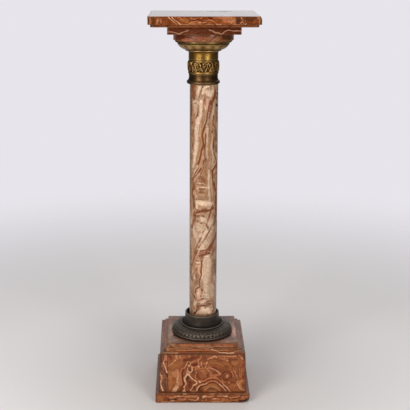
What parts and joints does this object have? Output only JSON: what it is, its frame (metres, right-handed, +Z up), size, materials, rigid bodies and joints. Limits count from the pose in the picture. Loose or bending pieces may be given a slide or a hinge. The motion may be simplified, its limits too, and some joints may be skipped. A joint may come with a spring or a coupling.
{
  "type": "pedestal column",
  "caption": "Square-topped stone pedestal: stepped square plinth, bronze ring, round polished shaft, brass capital, round disc, square slabs.",
  "frame": {"origin": "centre of the square plinth's underside, on the floor", "axes": "+Z up along the column, +X to the right and -Y towards the viewer, both square to the plinth's sides"},
  "size_m": [0.2882, 0.2882, 1.07],
  "materials": {
    "brown_onyx": "gloss",
    "side_onyx": "gloss",
    "dark_onyx": "gloss",
    "pink_onyx": "gloss",
    "cream_onyx": "gloss",
    "brass": "satin",
    "dull_brass": "satin",
    "dark_bronze": "satin"
  },
  "bodies": {
    "root": {"plinth_foot": "brown_onyx", "plinth_die": "brown_onyx", "plinth_side_slab": "side_onyx", "plinth_cap": "brown_onyx", "base_ring": "dark_bronze", "shaft": "cream_onyx", "capital_collar": "dull_brass", "capital_leaf_band": "brass", "capital_bowl": "brass", "abacus_disc": "pink_onyx", "abacus_slab": "dark_onyx", "top_slab": "brown_onyx"}
  },
  "joints": []
}
